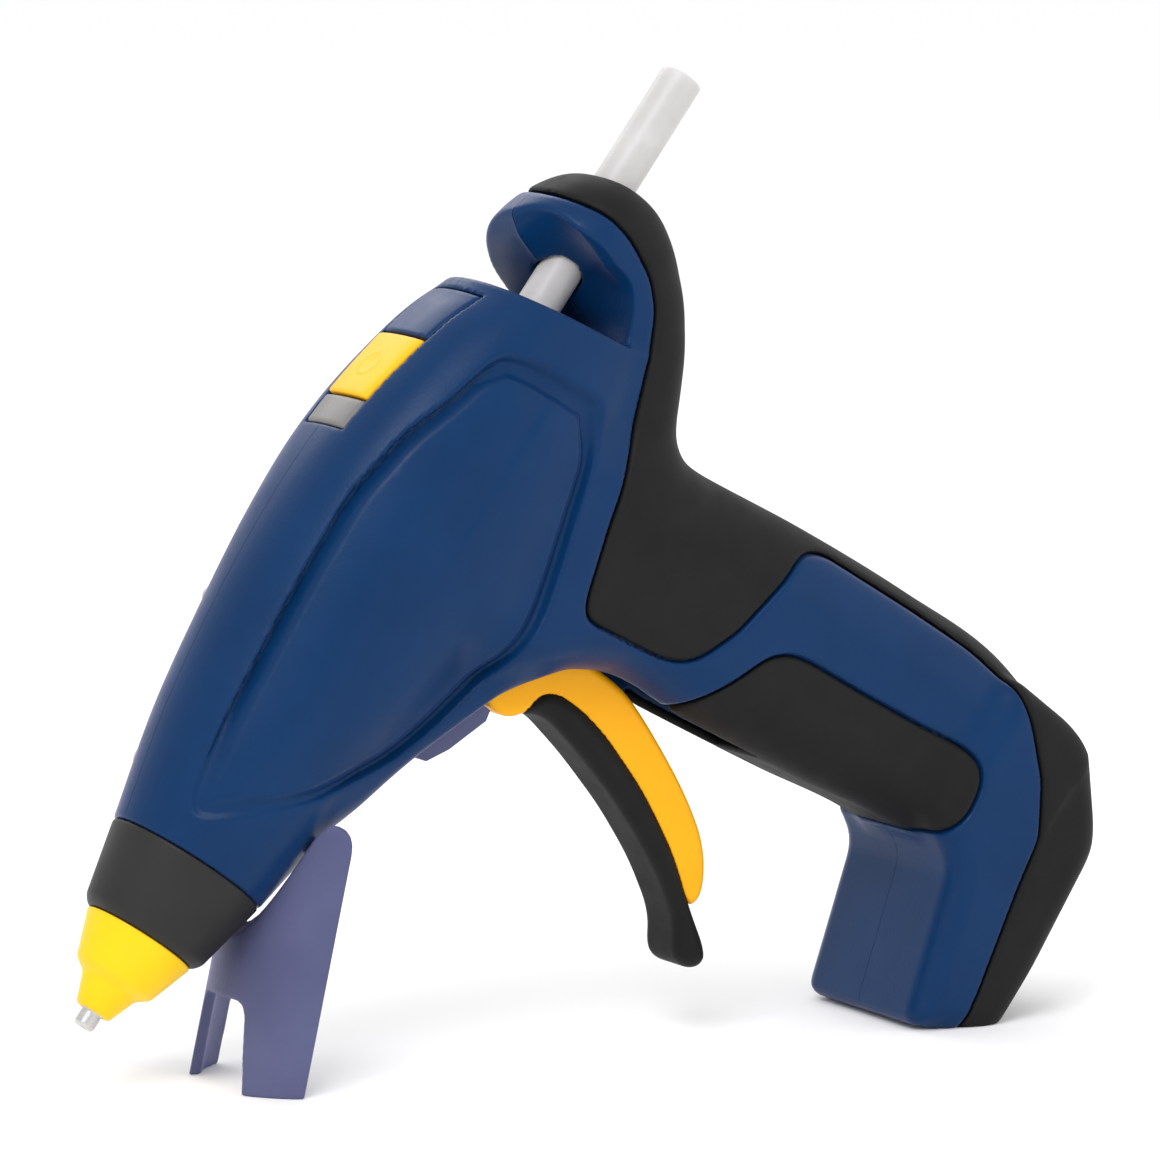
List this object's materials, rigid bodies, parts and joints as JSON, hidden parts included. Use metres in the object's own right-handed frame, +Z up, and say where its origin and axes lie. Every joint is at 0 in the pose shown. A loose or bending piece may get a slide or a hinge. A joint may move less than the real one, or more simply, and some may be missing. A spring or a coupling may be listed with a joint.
{
  "type": "glue gun",
  "caption": "Cordless hot-melt glue gun with soft grips and long lever trigger, standing on fold-out legs under its nose, loaded with a round glue stick.",
  "frame": {"origin": "on the table, under the middle of the standing gun's box", "axes": "+Z up from the table; the nozzle points down towards -X, the handle leans to +X; the gun is symmetric about y = 0"},
  "size_m": [0.1841, 0.0392, 0.1609],
  "materials": {
    "blue_shell": "fine grained moulding",
    "grip_rubber": "soft matt overmould",
    "nozzle_silicone": "smooth heat-proof silicone",
    "nose_plastic": "matt heat-proof plastic",
    "yellow_button": "satin",
    "orange_trigger": "satin",
    "lens_grey": "clear grey lens",
    "stand_blue": "fine grained moulding",
    "steel": "zinc plated",
    "aluminium": "as turned",
    "nozzle_metal": "turned",
    "ceramic": "fired ceramic",
    "white_plastic": "plain moulding",
    "green_board": "solder mask",
    "cell_wrap": "shrink wrap",
    "lead_insulation": "silicone wire",
    "glue": "cloudy hot-melt adhesive"
  },
  "bodies": {
    "casing": {"housing_left": "blue_shell", "housing_right": "blue_shell", "rear_grip_left": "grip_rubber", "rear_grip_right": "grip_rubber", "finger_grip_left": "grip_rubber", "finger_grip_right": "grip_rubber", "nose_collar": "nose_plastic", "nozzle_sleeve": "nozzle_silicone", "nozzle_tip": "nozzle_metal", "melt_chamber": "aluminium", "heater": "ceramic", "heater_clip": "steel", "front_ring": "ceramic", "rear_ring": "ceramic", "inlet_seal": "nozzle_silicone", "barrel_guide": "white_plastic", "inlet_guide": "white_plastic", "status_lens": "lens_grey", "top_cover": "blue_shell", "power_switch": "nose_plastic", "circuit_board": "green_board", "battery_cell": "cell_wrap", "cell_contacts": "steel", "charge_board": "green_board", "charge_port": "steel", "battery_leads": "lead_insulation", "heater_leads": "lead_insulation", "housing_screws": "steel", "trigger_pin": "steel", "return_spring": "steel", "stand_catch": "stand_blue", "stand_pin": "steel"},
    "trigger": {"trigger": "orange_trigger", "trigger_pad": "grip_rubber"},
    "carriage": {"feed_carriage": "white_plastic", "feed_pin": "steel", "pawl_pin": "steel"},
    "pawl": {"feed_pawl": "steel"},
    "glue_stick": {"glue_stick": "glue"},
    "power_button": {"power_button": "yellow_button"},
    "stand": {"stand": "stand_blue"}
  },
  "joints": [
    {"name": "trigger_pull", "type": "hinge", "parent": "casing", "child": "trigger", "pos_m": [-0.01636, 0, 0.06705], "axis": [0, -1, 0], "range_deg": [0, 17], "stiffness_Nm_per_rad": 0.15, "springref_deg": -20.05},
    {"name": "carriage_feed", "type": "slide", "parent": "casing", "child": "carriage", "axis": [-0.5962, 0, -0.8028], "range_m": [0, 0.0052], "deforming": ["return_spring"]},
    {"name": "pawl_tilt", "type": "hinge", "parent": "carriage", "child": "pawl", "pos_m": [-0.03616, 0, 0.10044], "axis": [0, -1, 0], "range_deg": [0, 4]},
    {"name": "stick_slide", "type": "slide", "parent": "carriage", "child": "glue_stick", "axis": [0.5962, 0, 0.8028], "range_m": [0, 0.075]},
    {"name": "button_press", "type": "slide", "parent": "casing", "child": "power_button", "axis": [0.8028, 0, -0.5962], "range_m": [0, 0.0008], "stiffness_N_per_m": 900, "springref_m": -0.001},
    {"name": "stand_fold", "type": "hinge", "parent": "casing", "child": "stand", "pos_m": [-0.05473, 0, 0.03887], "axis": [0, -1, 0], "range_deg": [0, 136]}
  ],
  "couplings": [
    {"joint": "carriage_feed", "follows": "trigger_pull", "m_per_rad": 0.017436},
    {"joint": "pawl_tilt", "follows": "trigger_pull", "ratio": 0.13}
  ]
}
